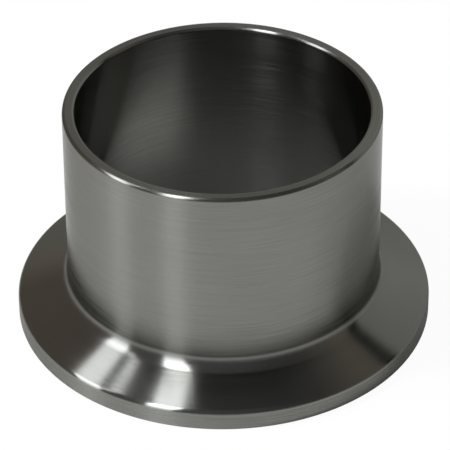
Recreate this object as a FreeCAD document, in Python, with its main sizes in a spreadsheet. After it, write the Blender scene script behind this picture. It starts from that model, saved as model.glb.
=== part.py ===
# Sanitary clamp ferrule, one turned piece of stainless steel, in millimetres.
# It is a short straight tube that widens at its foot into a round flange with a 20 degree
# bevelled back. A two-piece clamp grips that bevel, and a gasket seats in the round-bottomed
# groove in the flange's flat face. The tube's plain end is butt welded to the pipe.
# Frame: +Z along the tube, away from the flange. The origin is the centre of the sealing face.

import FreeCAD, Part
import math
import os

import Sketcher

TUBE_AXIS = "V_Axis"
SKETCH_NORMAL = FreeCAD.Vector(0, 0, 1)
FIRST_POINT, SECOND_POINT, CENTRE_POINT = 1, 2, 3
ORIGIN = -1
HORIZONTAL_AXIS = -1
SAME_PLACE = 1e-4

doc = FreeCAD.newDocument("ClampFerrule")


# Driving dimensions

DRIVING_SIZES = [
    ("bore_diameter", 35.1, "inside of the tube, straight through the flange"),
    ("wall_thickness", 1.5, "tube wall, so the tube measures 38.1 outside"),
    ("overall_length", 28.6, "sealing face to plain end"),
    ("flange_overhang", 6.2, "how far the rim stands out from the tube, so the flange measures 50.5"),
    ("rim_thickness", 2.25, "rim, measured to the sharp corner where rim and bevel would meet"),
    ("bevel_angle", 20.0, "slope of the flange's back, in degrees from the sealing face"),
    ("neck_radius", 1.5, "hollow round where the tube runs into the bevel"),
    ("groove_inset", 3.45, "rim to the centreline of the gasket groove"),
    ("groove_radius", 2.35, "round bottom of the gasket groove"),
    ("groove_depth", 1.6, "deepest point of the gasket groove, below the sealing face"),
    ("bevel_edge_radius", 0.7, "rounded edge between the bevel and the rim"),
    ("groove_lip_chamfer", 0.3, "broken lips of the gasket groove"),
    ("face_edge_chamfer", 0.15, "broken edge between the rim and the sealing face"),
    ("bore_edge_chamfer", 0.2, "broken edge of the bore at the sealing face"),
    ("end_outer_chamfer", 0.25, "deburred outer edge of the plain end"),
    ("end_inner_chamfer", 0.25, "deburred inner edge of the plain end"),
]

sizes = doc.addObject("Spreadsheet::Sheet", "Sizes")
for row, (alias, value, meaning) in enumerate(DRIVING_SIZES, start=1):
    sizes.set(f"A{row}", alias.replace("_", " "))
    sizes.set(f"B{row}", str(value))
    sizes.set(f"C{row}", meaning)
    sizes.setAlias(f"B{row}", alias)
doc.recompute()

BORE_RADIUS = "Sizes.bore_diameter / 2"
TUBE_RADIUS = f"({BORE_RADIUS} + Sizes.wall_thickness)"
RIM_RADIUS = f"({TUBE_RADIUS} + Sizes.flange_overhang)"
GROOVE_CENTRE_RADIUS = f"({RIM_RADIUS} - Sizes.groove_inset)"

bore_radius = sizes.bore_diameter / 2
tube_radius = bore_radius + sizes.wall_thickness
rim_radius = tube_radius + sizes.flange_overhang
bevel_slope = math.radians(sizes.bevel_angle)
bevel_height = sizes.rim_thickness + sizes.flange_overhang * math.tan(bevel_slope)


# Helpers

def origin_plane(body, role):
    """The body's own origin plane with that role."""
    return next(feature for feature in body.Origin.OriginFeatures if feature.Role == role)


def section_sketch(body, label):
    """An empty sketch in the plane that holds the tube's axis: across is X and up is Z."""
    sketch = body.newObject("Sketcher::SketchObject", label)
    sketch.AttachmentSupport = [(origin_plane(body, "XZ_Plane"), "")]
    sketch.MapMode = "FlatFace"
    return sketch


def bound_size(sketch, name, expression, *constraint):
    """A dimension in the sketch that follows the spreadsheet."""
    index = sketch.addConstraint(Sketcher.Constraint(*constraint))
    sketch.renameConstraint(index, name)
    sketch.setExpression(f"Constraints.{name}", expression)


def circle_edges(feature, radius, height):
    """Names of the feature's full round edges about the tube's axis, of that radius and height."""
    found = []
    for index, edge in enumerate(feature.Shape.Edges, start=1):
        if not isinstance(edge.Curve, Part.Circle):
            continue
        off_size = abs(edge.Curve.Radius - radius)
        off_place = abs(edge.Curve.Center.z - height)
        if max(off_size, off_place) < SAME_PLACE:
            found.append(f"Edge{index}")
    if not found:
        raise RuntimeError(f"{feature.Label} has no round edge of radius {radius} at height {height}")
    return found


def break_edge(body, label, edges, size_alias):
    """A chamfer on named edges of the body's last feature."""
    base = body.Tip
    chamfer = body.newObject("PartDesign::Chamfer", label)
    chamfer.Base = (base, edges)
    chamfer.setExpression("Size", f"Sizes.{size_alias}")
    base.Visibility = False
    doc.recompute()


# The turned blank: tube, bevelled flange and straight bore, as one section turned about the axis

ferrule = doc.addObject("PartDesign::Body", "clamp_ferrule")
ferrule.Label = "clamp_ferrule"

section = section_sketch(ferrule, "TurnedSection")
bevel_direction = FreeCAD.Vector(-math.cos(bevel_slope), math.sin(bevel_slope), 0)
bevel_normal = FreeCAD.Vector(math.sin(bevel_slope), math.cos(bevel_slope), 0)
rim_corner = FreeCAD.Vector(rim_radius, sizes.rim_thickness, 0)
neck_corner = FreeCAD.Vector(tube_radius, bevel_height, 0)

# A round between an upright line and the bevel leaves each of them this share of its radius from
# their corner, and turns through a right angle less the bevel's slope.
corner_share = math.tan((math.pi / 2 - bevel_slope) / 2)
bevel_edge_setback = sizes.bevel_edge_radius * corner_share
bevel_edge_start = rim_corner - FreeCAD.Vector(0, bevel_edge_setback, 0)
bevel_edge_end = rim_corner + bevel_direction * bevel_edge_setback
bevel_edge_centre = bevel_edge_end - bevel_normal * sizes.bevel_edge_radius
neck_setback = sizes.neck_radius * corner_share
neck_start = neck_corner - bevel_direction * neck_setback
neck_end = neck_corner + FreeCAD.Vector(0, neck_setback, 0)
neck_centre = neck_start + bevel_normal * sizes.neck_radius

face_start = FreeCAD.Vector(bore_radius, 0, 0)
rim_foot = FreeCAD.Vector(rim_radius, 0, 0)
tube_top = FreeCAD.Vector(tube_radius, sizes.overall_length, 0)
bore_top = FreeCAD.Vector(bore_radius, sizes.overall_length, 0)

FACE = section.addGeometry(Part.LineSegment(face_start, rim_foot), False)
RIM = section.addGeometry(Part.LineSegment(rim_foot, bevel_edge_start), False)
bevel_edge_circle = Part.Circle(bevel_edge_centre, SKETCH_NORMAL, sizes.bevel_edge_radius)
BEVEL_EDGE = section.addGeometry(
    Part.ArcOfCircle(bevel_edge_circle, 0, math.pi / 2 - bevel_slope), False
)
BEVEL = section.addGeometry(Part.LineSegment(bevel_edge_end, neck_start), False)
neck_circle = Part.Circle(neck_centre, SKETCH_NORMAL, sizes.neck_radius)
NECK = section.addGeometry(
    Part.ArcOfCircle(neck_circle, math.pi, math.pi * 3 / 2 - bevel_slope), False
)
TUBE_WALL = section.addGeometry(Part.LineSegment(neck_end, tube_top), False)
PLAIN_END = section.addGeometry(Part.LineSegment(tube_top, bore_top), False)
BORE = section.addGeometry(Part.LineSegment(bore_top, face_start), False)
SHARP_CORNER = section.addGeometry(Part.Point(rim_corner), True)

# The neck's arc runs anticlockwise, from the tube wall down to the bevel
corner_ties = [
    ("Coincident", FACE, SECOND_POINT, RIM, FIRST_POINT),
    ("Tangent", RIM, SECOND_POINT, BEVEL_EDGE, FIRST_POINT),
    ("Tangent", BEVEL_EDGE, SECOND_POINT, BEVEL, FIRST_POINT),
    ("Tangent", BEVEL, SECOND_POINT, NECK, SECOND_POINT),
    ("Tangent", NECK, FIRST_POINT, TUBE_WALL, FIRST_POINT),
    ("Coincident", TUBE_WALL, SECOND_POINT, PLAIN_END, FIRST_POINT),
    ("Coincident", PLAIN_END, SECOND_POINT, BORE, FIRST_POINT),
    ("Coincident", BORE, SECOND_POINT, FACE, FIRST_POINT),
]
for tie in corner_ties:
    section.addConstraint(Sketcher.Constraint(*tie))
for line in (RIM, TUBE_WALL, BORE):
    section.addConstraint(Sketcher.Constraint("Vertical", line))
section.addConstraint(Sketcher.Constraint("Horizontal", PLAIN_END))
section.addConstraint(Sketcher.Constraint("PointOnObject", FACE, FIRST_POINT, HORIZONTAL_AXIS))
section.addConstraint(Sketcher.Constraint("PointOnObject", FACE, SECOND_POINT, HORIZONTAL_AXIS))
section.addConstraint(Sketcher.Constraint("PointOnObject", SHARP_CORNER, FIRST_POINT, RIM))
section.addConstraint(Sketcher.Constraint("PointOnObject", SHARP_CORNER, FIRST_POINT, BEVEL))
bound_size(section, "bore_radius", BORE_RADIUS,
           "DistanceX", ORIGIN, FIRST_POINT, FACE, FIRST_POINT, bore_radius)
bound_size(section, "rim_radius", RIM_RADIUS,
           "DistanceX", ORIGIN, FIRST_POINT, FACE, SECOND_POINT, rim_radius)
bound_size(section, "tube_radius", TUBE_RADIUS,
           "DistanceX", ORIGIN, FIRST_POINT, TUBE_WALL, SECOND_POINT, tube_radius)
bound_size(section, "rim_thickness", "Sizes.rim_thickness",
           "DistanceY", ORIGIN, FIRST_POINT, SHARP_CORNER, FIRST_POINT, sizes.rim_thickness)
bound_size(section, "overall_length", "Sizes.overall_length",
           "DistanceY", BORE, SECOND_POINT, BORE, FIRST_POINT, sizes.overall_length)
bound_size(section, "bevel_angle", "Sizes.bevel_angle",
           "Angle", BEVEL, SECOND_POINT, FACE, FIRST_POINT, bevel_slope)
bound_size(section, "bevel_edge_radius", "Sizes.bevel_edge_radius",
           "Radius", BEVEL_EDGE, sizes.bevel_edge_radius)
bound_size(section, "neck_radius", "Sizes.neck_radius", "Radius", NECK, sizes.neck_radius)
doc.recompute()

blank = ferrule.newObject("PartDesign::Revolution", "TurnedBlank")
blank.Profile = section
blank.ReferenceAxis = (section, [TUBE_AXIS])
blank.Angle = 360
section.Visibility = False
doc.recompute()


# The gasket groove: a round-nosed form tool plunged into the sealing face

tool_nose = section_sketch(ferrule, "GrooveTool")
groove_centre_radius = rim_radius - sizes.groove_inset
nose_height = sizes.groove_depth - sizes.groove_radius
nose_centre = FreeCAD.Vector(groove_centre_radius, nose_height, 0)
NOSE = tool_nose.addGeometry(
    Part.Circle(nose_centre, SKETCH_NORMAL, sizes.groove_radius), False
)
bound_size(tool_nose, "groove_radius", "Sizes.groove_radius", "Radius", NOSE, sizes.groove_radius)
bound_size(tool_nose, "groove_centre_radius", GROOVE_CENTRE_RADIUS,
           "DistanceX", ORIGIN, FIRST_POINT, NOSE, CENTRE_POINT, groove_centre_radius)
bound_size(tool_nose, "nose_height", "Sizes.groove_depth - Sizes.groove_radius",
           "DistanceY", ORIGIN, FIRST_POINT, NOSE, CENTRE_POINT, nose_height)
doc.recompute()

volume_before = blank.Shape.Volume
gasket_groove = ferrule.newObject("PartDesign::Groove", "GasketGroove")
gasket_groove.Profile = tool_nose
gasket_groove.ReferenceAxis = (tool_nose, [TUBE_AXIS])
gasket_groove.Angle = 360
tool_nose.Visibility = False
blank.Visibility = False
doc.recompute()
if gasket_groove.Shape.Volume >= volume_before:
    raise RuntimeError("the gasket groove cut nothing")


# Broken edges: the groove's lips, the flange face's two edges and the plain end's two edges

groove_half_width = math.sqrt(sizes.groove_radius**2 - nose_height**2)
groove_lips = [
    edge
    for radius in (groove_centre_radius - groove_half_width, groove_centre_radius + groove_half_width)
    for edge in circle_edges(ferrule.Tip, radius, 0)
]
break_edge(ferrule, "GrooveLips", groove_lips, "groove_lip_chamfer")
break_edge(ferrule, "FaceEdge", circle_edges(ferrule.Tip, rim_radius, 0), "face_edge_chamfer")
break_edge(ferrule, "BoreEdge", circle_edges(ferrule.Tip, bore_radius, 0), "bore_edge_chamfer")
break_edge(ferrule, "EndOuterEdge",
           circle_edges(ferrule.Tip, tube_radius, sizes.overall_length), "end_outer_chamfer")
break_edge(ferrule, "EndInnerEdge",
           circle_edges(ferrule.Tip, bore_radius, sizes.overall_length), "end_inner_chamfer")

doc.recompute()


# Check every object, then write the piece

for item in doc.Objects:
    if "Invalid" in item.State or "Error" in item.State:
        raise RuntimeError(f"{item.Label} failed: {item.State}")
pieces = [ferrule]
os.makedirs("parts", exist_ok=True)
for piece in pieces:
    if piece.Shape.isNull() or not piece.Shape.isValid():
        raise RuntimeError(f"{piece.Label} has no valid shape")
    piece.Shape.exportStep(f"parts/{piece.Label}.step")
    box = piece.Shape.optimalBoundingBox(False, False)
    print(f"{piece.Label}: {box.XLength:.2f} x {box.YLength:.2f} x {box.ZLength:.2f} mm, "
          f"{piece.Shape.Volume:.1f} mm3, {len(piece.Shape.Solids)} solid, {len(piece.Shape.Faces)} faces")
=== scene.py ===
import math

import bmesh
import bpy
from mathutils import Matrix, Vector


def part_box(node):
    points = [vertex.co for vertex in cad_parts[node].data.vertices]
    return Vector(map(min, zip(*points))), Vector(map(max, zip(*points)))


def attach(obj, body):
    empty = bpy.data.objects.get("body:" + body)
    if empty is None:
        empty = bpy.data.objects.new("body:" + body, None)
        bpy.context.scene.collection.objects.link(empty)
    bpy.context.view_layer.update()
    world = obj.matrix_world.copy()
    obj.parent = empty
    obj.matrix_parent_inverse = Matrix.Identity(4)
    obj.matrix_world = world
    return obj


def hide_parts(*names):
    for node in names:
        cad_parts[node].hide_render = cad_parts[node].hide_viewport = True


mm = 0.001

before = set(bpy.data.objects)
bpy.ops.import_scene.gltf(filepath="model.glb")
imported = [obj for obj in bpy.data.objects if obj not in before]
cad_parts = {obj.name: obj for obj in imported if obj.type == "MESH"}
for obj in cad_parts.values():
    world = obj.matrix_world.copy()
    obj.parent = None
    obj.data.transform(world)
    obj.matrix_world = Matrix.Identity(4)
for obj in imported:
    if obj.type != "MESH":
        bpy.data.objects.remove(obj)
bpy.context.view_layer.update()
scene = bpy.context.scene
scene.view_settings.view_transform = "Standard"
nodeLow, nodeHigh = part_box("clamp_ferrule")
print("frame loaded, ferrule box in mm:", [round(side / mm, 2) for side in nodeHigh - nodeLow])


# The turned shape. Sizes in mm; the rim's radius and the length come from the frame.
ferrule = {
    "rimRadius": nodeHigh.x / mm,
    "length": nodeHigh.z / mm,
    "tubeRadius": 19.05,
    "boreRadius": 17.55,
    "rimThickness": 2.45,      # sealing face to the corner where the bevel starts
    "bevelAngle": 20.0,
    "neckRadius": 1.8,
    "bevelEdgeRadius": 0.65,
    "faceEdgeRadius": 0.12,
    "boreEdgeRadius": 0.2,
    "endOuterRadius": 0.4,
    "endInnerRadius": 0.35,
    "grooveInset": 3.45,       # rim to the groove's centreline
    "grooveRadius": 2.35,
    "grooveDepth": 1.6,
    "grooveLipRadius": 0.3,
    "segments": 360,           # round the axis
    "arcStep": 7.0,            # degrees between points on a round
    "fewestArcSteps": 3,
    "longStep": 1.8,           # mm between loops on a straight stretch
    "touching": 1e-6,          # mm, a gap this small is two rounds that meet
}
finishNames = ["face", "rim", "bevel", "neck", "tube", "end", "bore"]   # the mesh's material slots


def heading(angle):
    return Vector((math.cos(math.radians(angle)), math.sin(math.radians(angle))))


# Points of an arc, each with the normal that points out of the metal. A negative turn is a hollow.
def arcRun(centre, radius, startAngle, turn):
    steps = max(ferrule["fewestArcSteps"], math.ceil(abs(turn) / ferrule["arcStep"]))
    side = 1 if turn > 0 else -1
    outs = [heading(startAngle + turn * i / steps) for i in range(steps + 1)]
    return [(centre + out * radius, out * side) for out in outs]


# The round on a corner, met while travelling at one angle and left at the next.
def cornerRun(corner, angle, nextAngle, radius):
    turn = nextAngle - angle
    side = 1 if turn > 0 else -1
    setback = radius * math.tan(math.radians(abs(turn) / 2))
    start = corner - heading(angle) * setback
    centre = start - heading(angle - 90) * radius * side
    return arcRun(centre, radius, angle - 90 * side, turn)


# The section, anticlockwise: (point, normal, finish of the band that starts there)
def turnedSection():
    bore, tube, rim = ferrule["boreRadius"], ferrule["tubeRadius"], ferrule["rimRadius"]
    length, rimTop = ferrule["length"], ferrule["rimThickness"]
    neck = rimTop + (rim - tube) * math.tan(math.radians(ferrule["bevelAngle"]))
    outward, up, inward, down = 0, 90, 180, 270
    alongBevel = inward - ferrule["bevelAngle"]

    # The groove's arc runs into a round lip on each side, where both have the same slope
    grooveRadius, lip = ferrule["grooveRadius"], ferrule["grooveLipRadius"]
    grooveCentre = Vector((rim - ferrule["grooveInset"], ferrule["grooveDepth"] - grooveRadius))
    drop = lip - grooveCentre.y
    reach = math.sqrt((grooveRadius + lip) ** 2 - drop**2)
    lean = math.degrees(math.atan2(drop, reach))
    innerLip = Vector((grooveCentre.x - reach, lip))
    outerLip = Vector((grooveCentre.x + reach, lip))

    runs = [   # the round, its finish, and the finish of the straight stretch after it
        (cornerRun(Vector((bore, 0)), down, outward + 360, ferrule["boreEdgeRadius"]), "face", "face"),
        (arcRun(innerLip, lip, -90, 90 - lean), "face", "face"),
        (arcRun(grooveCentre, grooveRadius, 180 - lean, 2 * lean - 180), "face", "face"),
        (arcRun(outerLip, lip, 180 + lean, 90 - lean), "face", "face"),
        (cornerRun(Vector((rim, 0)), outward, up, ferrule["faceEdgeRadius"]), "rim", "rim"),
        (cornerRun(Vector((rim, rimTop)), up, alongBevel, ferrule["bevelEdgeRadius"]), "bevel", "bevel"),
        (cornerRun(Vector((tube, neck)), alongBevel, up, ferrule["neckRadius"]), "neck", "tube"),
        (cornerRun(Vector((tube, length)), up, inward, ferrule["endOuterRadius"]), "end", "end"),
        (cornerRun(Vector((bore, length)), inward, down, ferrule["endInnerRadius"]), "end", "bore"),
    ]
    section = []
    for i, (run, roundFinish, stretchFinish) in enumerate(runs):
        section += [(point, normal, roundFinish) for point, normal in run[:-1]]
        start, normal = run[-1]
        end = runs[(i + 1) % len(runs)][0][0][0]
        if (end - start).length < ferrule["touching"]:
            continue
        loops = max(1, math.ceil((end - start).length / ferrule["longStep"]))
        section += [(start.lerp(end, k / loops), normal, stretchFinish) for k in range(loops)]
    return section


def turnFerrule():
    section = turnedSection()
    segments = ferrule["segments"]
    angles = [math.tau * k / segments for k in range(segments)]
    spokes = [(math.cos(angle), math.sin(angle)) for angle in angles]
    shell = bmesh.new()
    rings = []
    for point, _, _ in section:
        radius, height = point.x * mm, point.y * mm
        rings.append([shell.verts.new((radius * x, radius * y, height)) for x, y in spokes])
    for i, (_, _, finish) in enumerate(section):
        ring, nextRing = rings[i], rings[(i + 1) % len(rings)]
        for k in range(segments):
            n = (k + 1) % segments
            band = shell.faces.new((ring[k], ring[n], nextRing[n], nextRing[k]))
            band.material_index = finishNames.index(finish)
            band.smooth = True
    mesh = bpy.data.meshes.new("turned_ferrule")
    shell.to_mesh(mesh)
    shell.free()
    # Exact normals, so that the rounds run into the flats without a ripple
    normals = [(normal.x * x, normal.x * y, normal.y) for _, normal, _ in section for x, y in spokes]
    mesh.normals_split_custom_set_from_vertices(normals)
    piece = bpy.data.objects.new("turned_ferrule", mesh)
    scene.collection.objects.link(piece)
    print("ferrule turned:", len(section), "rings of", segments, "points")
    return piece


# A maths node. Each value is a number or another node's output.
def reckon(tree, operation, first, second=0.0):
    node = tree.nodes.new("ShaderNodeMath")
    node.operation = operation
    for socket, value in zip(node.inputs, (first, second)):
        if isinstance(value, (int, float)):
            socket.default_value = value
        else:
            tree.links.new(value, socket)
    return node.outputs[0]


def mapRange(tree, value, fromMin, fromMax, toMin=0.0, toMax=1.0):
    node = tree.nodes.new("ShaderNodeMapRange")
    tree.links.new(value, node.inputs["Value"])
    ends = {"From Min": fromMin, "From Max": fromMax, "To Min": toMin, "To Max": toMax}
    for socket, end in ends.items():
        node.inputs[socket].default_value = end
    return node.outputs["Result"]


def mixColours(tree, share, first, second):
    node = tree.nodes.new("ShaderNodeMix")
    node.data_type = "RGBA"
    tree.links.new(share, node.inputs[0])
    node.inputs[6].default_value = (*first, 1)      # inputs 6 and 7 and output 2 are the colours
    node.inputs[7].default_value = (*second, 1)
    return node.outputs[2]


def blankMaterial(name):
    material = bpy.data.materials.new(name)
    material.use_nodes = True
    material.node_tree.nodes.clear()
    return material


def showSurface(tree, shading):
    tree.links.new(shading, tree.nodes.new("ShaderNodeOutputMaterial").inputs["Surface"])


# Turned steel. Lengths in mm. In each finish, smooth and rough are the roughness between the turning
# marks and on them, spread is how far they draw a highlight across them, ring and depth are a mark's
# width and height, and edge is the brightness where the metal is seen at a low angle.
steel = {
    "colour": (0.187, 0.1905, 0.175),
    "mottle": 0.12,            # how much darker and lighter the marks and stains get
    "markShare": 0.5,          # of the mottle; the rest is stains
    "markLength": 9.0,
    "stainLength": 7.0,
    "stainWidth": 5.0,
    "noiseDetail": 3,
    "noiseRoughness": 0.6,
    "roughLineWidth": 1.3,     # against the ring's
    "roughLineDetail": 2,
    "roughLineFrom": 0.35,     # noise level that is smooth
    "roughLineTo": 0.65,       # noise level that is rough
    "grainTurn": 0.25,         # turns, so that highlights lie across the marks
    "finishes": {
        "face": {"smooth": 0.16, "rough": 0.24, "spread": 0.80, "ring": 0.10, "depth": 0.0005, "edge": 0.6},
        "rim": {"smooth": 0.25, "rough": 0.38, "spread": 0.90, "ring": 0.16, "depth": 0.0006, "edge": 0.6},
        "bevel": {"smooth": 0.14, "rough": 0.20, "spread": 0.98, "ring": 0.10, "depth": 0.0004, "edge": 0.6},
        "neck": {"smooth": 0.16, "rough": 0.23, "spread": 0.99, "ring": 0.10, "depth": 0.0003, "edge": 0.6},
        "tube": {"smooth": 0.17, "rough": 0.27, "spread": 0.90, "ring": 0.09, "depth": 0.0003, "edge": 0.6},
        "end": {"smooth": 0.18, "rough": 0.28, "spread": 0.80, "ring": 0.09, "depth": 0.0005, "edge": 0.6},
        "bore": {"smooth": 0.16, "rough": 0.24, "spread": 0.96, "ring": 0.08, "depth": 0.0003, "edge": 0.85},
    },
}


def turnedSteel(name):
    look = steel["finishes"][name]
    material = bpy.data.materials.new("turned_steel_" + name)
    material.use_nodes = True
    tree = material.node_tree
    nodes, links = tree.nodes, tree.links
    shader = nodes["Principled BSDF"]
    shader.inputs["Metallic"].default_value = 1.0
    shader.inputs["Specular Tint"].default_value = (look["edge"],) * 3 + (1,)
    shader.inputs["Anisotropic"].default_value = look["spread"]
    shader.inputs["Anisotropic Rotation"].default_value = steel["grainTurn"]

    place = nodes.new("ShaderNodeTexCoord")
    split = nodes.new("ShaderNodeSeparateXYZ")
    links.new(place.outputs["Object"], split.inputs[0])
    x, y, z = split.outputs
    squares = [reckon(tree, "MULTIPLY", side, side) for side in (x, y)]
    radius = reckon(tree, "SQRT", reckon(tree, "ADD", *squares))
    across = reckon(tree, "SUBTRACT", z, radius)

    # Noise drawn out round the axis, of one length along the tool's marks and another across them
    def marks(length, width, detail):
        vector = nodes.new("ShaderNodeCombineXYZ")
        for socket, side, size in zip(vector.inputs, (x, y, across), (length, length, width)):
            links.new(reckon(tree, "DIVIDE", side, size * mm), socket)
        noise = nodes.new("ShaderNodeTexNoise")
        noise.inputs["Scale"].default_value = 1.0
        noise.inputs["Detail"].default_value = detail
        noise.inputs["Roughness"].default_value = steel["noiseRoughness"]
        links.new(vector.outputs[0], noise.inputs["Vector"])
        return noise.outputs["Fac"]

    fine = marks(steel["markLength"], look["ring"], steel["noiseDetail"])
    stain = marks(steel["stainLength"], steel["stainWidth"], steel["noiseDetail"])

    # Fine rough lines between smoother ones give a wide, soft highlight under a clear reflection
    lines = marks(steel["markLength"], look["ring"] * steel["roughLineWidth"], steel["roughLineDetail"])
    roughness = mapRange(tree, lines, steel["roughLineFrom"], steel["roughLineTo"],
                         look["smooth"], look["rough"])
    links.new(roughness, shader.inputs["Roughness"])

    shares = (reckon(tree, "MULTIPLY", fine, steel["markShare"]),
              reckon(tree, "MULTIPLY", stain, 1 - steel["markShare"]))
    darker = [channel * (1 - steel["mottle"]) for channel in steel["colour"]]
    lighter = [channel * (1 + steel["mottle"]) for channel in steel["colour"]]
    tint = mixColours(tree, reckon(tree, "ADD", *shares), darker, lighter)
    links.new(tint, shader.inputs["Base Color"])

    bump = nodes.new("ShaderNodeBump")
    bump.inputs["Distance"].default_value = look["depth"] * mm
    links.new(fine, bump.inputs["Height"])
    links.new(bump.outputs[0], shader.inputs["Normal"])

    tangent = nodes.new("ShaderNodeTangent")
    tangent.direction_type = "RADIAL"
    tangent.axis = "Z"
    links.new(tangent.outputs[0], shader.inputs["Tangent"])
    return material


turned = turnFerrule()
for finish in finishNames:
    turned.data.materials.append(turnedSteel(finish))
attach(turned, "root")
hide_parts("clamp_ferrule")
print("finishes:", ", ".join(finishNames))


# Pale floor. Sizes in metres, the last four of them from the ferrule's axis.
floorLook = {
    "size": 8.0,
    "sides": 96,
    "roughness": 0.27,
    "colour": (0.93, 0.93, 0.93),
    "farColour": (0.15, 0.15, 0.15),     # so that the low parts of the steel don't mirror a white field
    # The glow lifts the floor towards white, by its share for each kind of ray
    "glow": {"Is Camera Ray": 0.95, "Is Glossy Ray": 0.10, "Is Transmission Ray": 0.10},
    "fadeFrom": 0.06,                    # the far colour starts here
    "fadeTo": 0.18,
    "glowFrom": 0.0185,                  # no glow inside this, under the ferrule
    "glowTo": 0.025,
}


def layFloor():
    bpy.ops.mesh.primitive_circle_add(
        vertices=floorLook["sides"], radius=floorLook["size"] / 2, fill_type="NGON")
    floor = bpy.context.object
    floor.name = "studio_floor"
    material = blankMaterial("pale_floor")
    tree = material.node_tree
    nodes, links = tree.nodes, tree.links

    place = nodes.new("ShaderNodeTexCoord")
    length = nodes.new("ShaderNodeVectorMath")
    length.operation = "LENGTH"
    links.new(place.outputs["Object"], length.inputs[0])
    fromAxis = length.outputs["Value"]

    paint = nodes.new("ShaderNodeBsdfPrincipled")
    paint.inputs["Roughness"].default_value = floorLook["roughness"]
    fade = mapRange(tree, fromAxis, floorLook["fadeFrom"], floorLook["fadeTo"])
    colour = mixColours(tree, fade, floorLook["colour"], floorLook["farColour"])
    links.new(colour, paint.inputs["Base Color"])

    path = nodes.new("ShaderNodeLightPath")
    share = 0.0
    for ray, glow in floorLook["glow"].items():
        share = reckon(tree, "MAXIMUM", share, reckon(tree, "MULTIPLY", path.outputs[ray], glow))
    outside = mapRange(tree, fromAxis, floorLook["glowFrom"], floorLook["glowTo"])

    white = nodes.new("ShaderNodeEmission")
    mix = nodes.new("ShaderNodeMixShader")
    links.new(reckon(tree, "MULTIPLY", share, outside), mix.inputs[0])
    links.new(paint.outputs[0], mix.inputs[1])
    links.new(white.outputs[0], mix.inputs[2])
    showSurface(tree, mix.outputs[0])
    floor.data.materials.append(material)


layFloor()
print("floor laid")


# Camera, fitted to the photograph's view: a long lens from above the front
view = {
    "target": (0.215, 0.0, 11.40),  # mm
    "distance": 393.0,              # mm
    "elevation": 35.78,
    "roll": -0.39,
    "lens": 258.6,
    "nearest": 0.01,                # metres, what the camera still sees
    "farthest": 30.0,
}


def setCamera():
    camera = bpy.data.objects.new("camera", bpy.data.cameras.new("camera"))
    scene.collection.objects.link(camera)
    camera.data.lens = view["lens"]
    elevation = math.radians(view["elevation"])
    away = Vector((0, -math.cos(elevation), math.sin(elevation)))
    camera.location = (Vector(view["target"]) + away * view["distance"]) * mm
    turn = (-away).to_track_quat("-Z", "Y").to_matrix()
    camera.rotation_euler = (turn @ Matrix.Rotation(math.radians(view["roll"]), 3, "Z")).to_euler()
    camera.data.clip_start, camera.data.clip_end = view["nearest"], view["farthest"]
    scene.camera = camera
    return away


towardsCamera = setCamera()
print("camera set")


# The studio's walls, by the azimuth on the turned steel where the camera sees their reflection:
# 0 is the front, negative is the left. Each wall's colour runs into the next one's.
walls = [
    (-180, (0.60, 0.60, 0.58)),
    (-140, (0.50, 0.50, 0.48)),
    (-115, (0.41, 0.40, 0.37)),
    (-98, (0.41, 0.37, 0.325)),
    (-86, (0.265, 0.22, 0.19)),
    (-50, (0.235, 0.197, 0.175)),
    (-25, (0.20, 0.20, 0.20)),
    (6, (0.172, 0.172, 0.175)),
    (18, (0.125, 0.125, 0.125)),
    (28, (0.13, 0.125, 0.125)),
    (44, (0.29, 0.255, 0.225)),
    (49.5, (0.28, 0.25, 0.225)),
    (51, (0.045, 0.045, 0.045)),
    (54.5, (0.045, 0.045, 0.045)),
    (57, (0.48, 0.48, 0.46)),
    (90, (0.66, 0.66, 0.64)),
    (125, (0.55, 0.55, 0.53)),
    (180, (0.60, 0.60, 0.58)),
]


# A direction's mirroring face points halfway between it and the camera, which gives its azimuth
def paintWalls():
    world = bpy.data.worlds.new("studio")
    scene.world = world
    world.use_nodes = True
    tree = world.node_tree
    nodes, links = tree.nodes, tree.links
    place = nodes.new("ShaderNodeTexCoord")
    half = nodes.new("ShaderNodeVectorMath")
    half.operation = "ADD"
    links.new(place.outputs["Generated"], half.inputs[0])
    half.inputs[1].default_value = towardsCamera
    split = nodes.new("ShaderNodeSeparateXYZ")
    links.new(half.outputs[0], split.inputs[0])
    x, y, _ = split.outputs
    azimuth = reckon(tree, "ARCTAN2", x, reckon(tree, "MULTIPLY", y, -1))
    ramp = nodes.new("ShaderNodeValToRGB")
    links.new(reckon(tree, "ADD", reckon(tree, "DIVIDE", azimuth, math.tau), 0.5), ramp.inputs[0])
    stops = ramp.color_ramp.elements
    for i, (angle, colour) in enumerate(walls):
        stop = stops[i] if i < 2 else stops.new(1.0)      # a ramp starts with two stops
        stop.position = angle / 360 + 0.5
        stop.color = (*colour, 1)
    links.new(ramp.outputs[0], nodes["Background"].inputs["Color"])


paintWalls()
print("walls painted:", len(walls), "colours")


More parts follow.
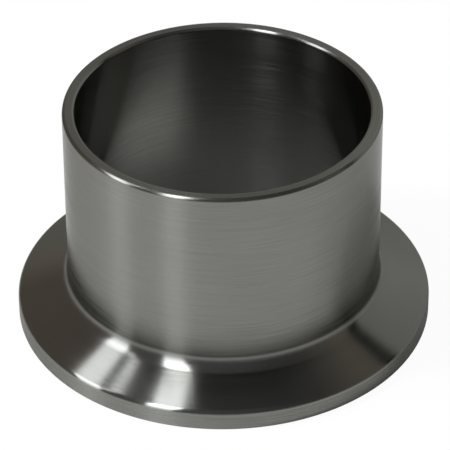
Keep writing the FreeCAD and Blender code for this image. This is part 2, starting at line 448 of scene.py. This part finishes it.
# Long strip lights arch over the ferrule. Each is bent so that the turned steel mirrors it at an
# azimuth, row by row, on faces that are tipped up from the tube's wall by the slope.
strips = {
    "colour": (0.98, 0.985, 1.04),
    "distance": 1.5,      # metres
    "slopeStep": 2,       # degrees between the sheet's edges
    "rows": {             # slope, azimuth and width in degrees, glow
        "leftStrip": [
            (18, -39.6, 7.2, 1.9),
            (24, -39.6, 7.2, 2.8),
            (32, -39.9, 7.8, 4.2),
            (42, -40.5, 8.8, 5.8),
            (50, -40.9, 9.4, 6.4),
            (58, -41.3, 9.0, 5.4),
            (66, -42.0, 8.4, 3.9),
            (76, -42.0, 8.4, 2.4),
        ],
        "rightStrip": [
            (18, -18.2, 7.2, 1.9),
            (24, -18.2, 7.2, 3.0),
            (32, -17.8, 7.8, 5.2),
            (42, -17.2, 8.6, 7.6),
            (50, -16.9, 9.2, 8.4),
            (54, -16.7, 8.8, 11.0),
            (60, -16.5, 8.6, 11.0),
            (66, -16.0, 9.0, 4.5),
            (76, -15.9, 9.2, 2.7),
        ],
        "faintStrip": [
            (46, -34.6, 3.4, 1.6),
            (62, -33.6, 3.6, 2.6),
            (67, -32.4, 3.8, 3.6),
            (75, -30.4, 3.8, 3.3),
        ],
    },
}


def glowingMaterial(name):
    material = blankMaterial(name)
    tree = material.node_tree
    light = tree.nodes.new("ShaderNodeEmission")
    light.inputs["Color"].default_value = (*strips["colour"], 1)
    strength = tree.nodes.new("ShaderNodeAttribute")
    strength.attribute_name = "glow"
    tree.links.new(strength.outputs["Fac"], light.inputs["Strength"])
    showSurface(tree, light.outputs[0])
    return material


# Where the camera looks by way of a face with this azimuth and slope
def mirroredWay(azimuth, slope):
    turn, rise = math.radians(azimuth), math.radians(slope)
    normal = Vector((math.sin(turn) * math.cos(rise), -math.cos(turn) * math.cos(rise), math.sin(rise)))
    return 2 * normal.dot(towardsCamera) * normal - towardsCamera


def hangStrip(name, rows):
    sheet = bmesh.new()
    edges, glows = [], []
    for first, second in zip(rows, rows[1:]):
        steps = max(1, round((second[0] - first[0]) / strips["slopeStep"]))
        for i in range(steps + (second is rows[-1])):
            share = i / steps
            slope, azimuth, width, glow = (a + (b - a) * share for a, b in zip(first, second))
            ways = [mirroredWay(azimuth + side * width, slope) for side in (-0.5, 0.5)]
            edges.append([sheet.verts.new(way * strips["distance"]) for way in ways])
            glows += [glow, glow]
    for lower, upper in zip(edges, edges[1:]):
        sheet.faces.new((lower[0], lower[1], upper[1], upper[0]))
    mesh = bpy.data.meshes.new(name)
    sheet.to_mesh(mesh)
    sheet.free()
    strength = mesh.attributes.new("glow", "FLOAT", "POINT")
    for item, glow in zip(strength.data, glows):
        item.value = glow
    mesh.materials.append(glowingMaterial(name))
    strip = bpy.data.objects.new(name, mesh)
    scene.collection.objects.link(strip)
    strip.visible_camera = False      # only the metal mirrors it; the lamps light the floor
    strip.visible_diffuse = False
    strip.visible_shadow = False


for stripName, stripRows in strips["rows"].items():
    hangStrip(stripName, stripRows)


# Soft lamps, in metres and watts. The metal doesn't mirror them; they light the floor round it.
lamps = {
    "overhead": {"towards": (-0.25, 0.1, 0.95), "distance": 1.6, "size": 2.2, "power": 3.7},
    "sideLamp": {"towards": (-0.62, -0.12, 0.77), "distance": 1.6, "size": 0.22, "power": 20.3},
    "lowLamp": {"towards": (-0.78, 0.07, 0.62), "distance": 1.6, "size": 0.25, "power": 8.7},
    "frontLamp": {"towards": (0.0, -0.5, 0.86), "distance": 1.6, "size": 0.2, "power": 3.0},
}


def hangLamp(name, look):
    lamp = bpy.data.objects.new(name, bpy.data.lights.new(name, "AREA"))
    scene.collection.objects.link(lamp)
    lamp.data.size = look["size"]
    lamp.data.energy = look["power"]
    towards = Vector(look["towards"]).normalized()
    lamp.location = towards * look["distance"]
    lamp.rotation_euler = towards.to_track_quat("Z", "Y").to_euler()
    lamp.visible_camera = False
    lamp.visible_glossy = False


for lampName, lampLook in lamps.items():
    hangLamp(lampName, lampLook)
print("lights:", ", ".join([*strips["rows"], *lamps]))
